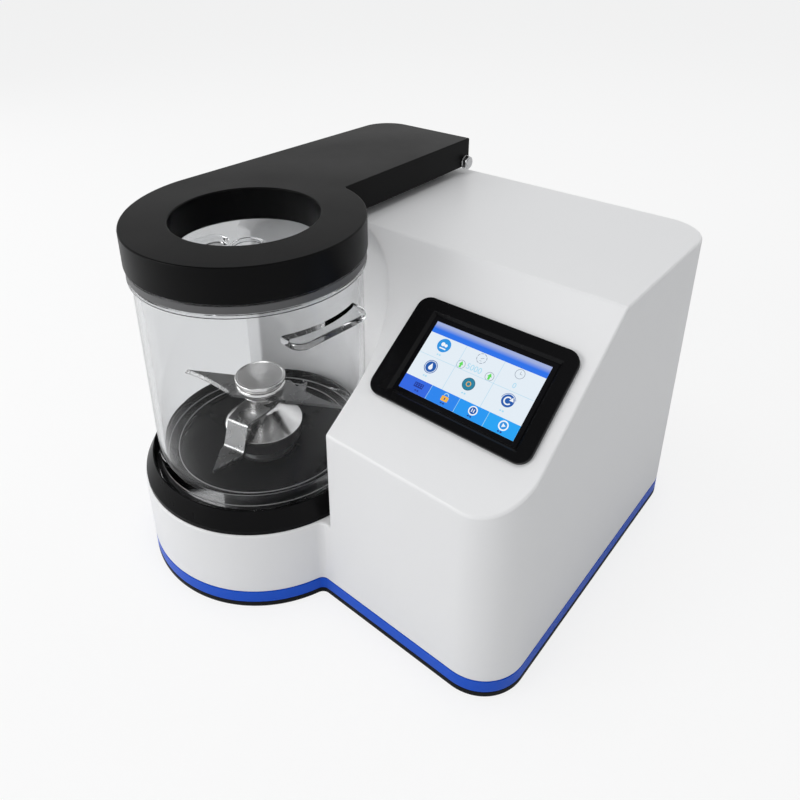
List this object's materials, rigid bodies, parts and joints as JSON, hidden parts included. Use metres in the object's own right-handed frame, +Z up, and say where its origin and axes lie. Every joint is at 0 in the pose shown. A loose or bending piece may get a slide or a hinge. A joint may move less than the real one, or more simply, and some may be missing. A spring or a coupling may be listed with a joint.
{
  "type": "tissue grinder",
  "caption": "Bench-top tissue grinder: clear jar with a four-armed knife under a hinged ring lid arm, beside a sloping white housing with a touch display.",
  "frame": {"origin": "middle of the footprint, on the surface that the feet stand on", "axes": "+X to the right seen from the front, +Y to the rear, +Z up"},
  "size_m": [0.419, 0.443, 0.3424],
  "materials": {
    "white_shell": "gloss moulded",
    "blue_band": "satin",
    "black_tray": "fine texture",
    "rubber": "matte",
    "zinc_screws": "zinc plated",
    "black_collar": "satin gloss",
    "hinge_steel": "bright turned",
    "machined_aluminium": "machined",
    "bearing_steel": "ground",
    "motor_enamel": "enamel",
    "bracket_paint": "powder coat",
    "display_black": "piano gloss",
    "display_glass": "lit screen under clear glass",
    "module_metal": "plain sheet",
    "circuit_board": "solder mask",
    "fan_black": "moulded",
    "switch_grey": "moulded",
    "arm_black": "fine leather-grain paint",
    "clear_plastic": "clear polished",
    "seal_silicone": "translucent",
    "cap_dark": "satin",
    "polished_steel": "mirror polished",
    "ground_steel": "ground",
    "rotor_steel": "laminated"
  },
  "bodies": {
    "base": {"housing_shell": "white_shell", "trim_band": "blue_band", "base_tray": "black_tray", "rubber_feet": "rubber", "tray_screws": "zinc_screws", "jar_collar": "black_collar", "hinge_bracket": "hinge_steel", "hinge_screws": "zinc_screws", "bearing_tube": "machined_aluminium", "lower_bearing": "bearing_steel", "upper_bearing": "bearing_steel", "shaft_seal": "rubber", "drive_belt": "rubber", "motor_stator": "motor_enamel", "motor_lower_bell": "machined_aluminium", "motor_upper_bell": "machined_aluminium", "motor_bracket": "bracket_paint", "display_bezel": "display_black", "display_glass": "display_glass", "display_module": "module_metal", "power_supply": "module_metal", "board_pillars": "zinc_screws", "control_board": "circuit_board", "fan_frame": "fan_black", "vent_grille": "fan_black", "power_inlet": "fan_black", "inlet_pins": "zinc_screws", "fuse_holder": "fan_black", "switch_frame": "fan_black", "lid_switch": "switch_grey"},
    "lid": {"lid_arm": "arm_black", "pressure_pad": "rubber", "hinge_pin": "hinge_steel", "hinge_nut": "hinge_steel"},
    "jar": {"grinding_jar": "clear_plastic", "jar_gasket": "seal_silicone", "jar_lid": "clear_plastic"},
    "knife": {"drive_cap": "cap_dark", "knife_bell": "polished_steel", "blade_spacer": "polished_steel", "knife_knob": "polished_steel", "upper_blade": "ground_steel", "lower_blade": "ground_steel", "spindle": "ground_steel", "spindle_pulley": "machined_aluminium"},
    "motor_shaft": {"motor_rotor": "rotor_steel", "motor_pulley": "machined_aluminium"},
    "fan_rotor": {"fan_wheel": "fan_black"},
    "rocker": {"switch_rocker": "fan_black"},
    "plunger": {"switch_plunger": "switch_grey"}
  },
  "joints": [
    {"name": "lid_hinge", "type": "hinge", "parent": "base", "child": "lid", "pos_m": [-0.0905, 0.2035, 0.316], "axis": [-1, 0, 0], "range_deg": [0, 78]},
    {"name": "jar_twist", "type": "hinge", "parent": "base", "child": "jar", "pos_m": [-0.0905, -0.1025, 0.095], "axis": [0, 0, 1], "range_deg": [0, 25]},
    {"name": "knife_spin", "type": "hinge", "parent": "base", "child": "knife", "pos_m": [-0.0905, -0.1025, 0.13], "axis": [0, 0, 1], "continuous": true},
    {"name": "motor_spin", "type": "hinge", "parent": "base", "child": "motor_shaft", "pos_m": [-0.0905, 0.1195, 0.13], "axis": [0, 0, 1], "continuous": true},
    {"name": "fan_spin", "type": "hinge", "parent": "base", "child": "fan_rotor", "pos_m": [0.1135, 0.2075, 0.196], "axis": [0, 1, 0], "continuous": true},
    {"name": "power_rocker", "type": "hinge", "parent": "base", "child": "rocker", "pos_m": [0.0615, 0.2155, 0.079], "axis": [1, 0, 0], "range_deg": [0, 16]},
    {"name": "lid_switch_press", "type": "slide", "parent": "base", "child": "plunger", "axis": [0, 0, 1], "range_m": [0, 0.0032]}
  ],
  "couplings": [
    {"joint": "motor_spin", "follows": "knife_spin", "ratio": 0.75},
    {"joint": "lid_switch_press", "follows": "lid_hinge", "m_per_rad": 0.0022}
  ]
}
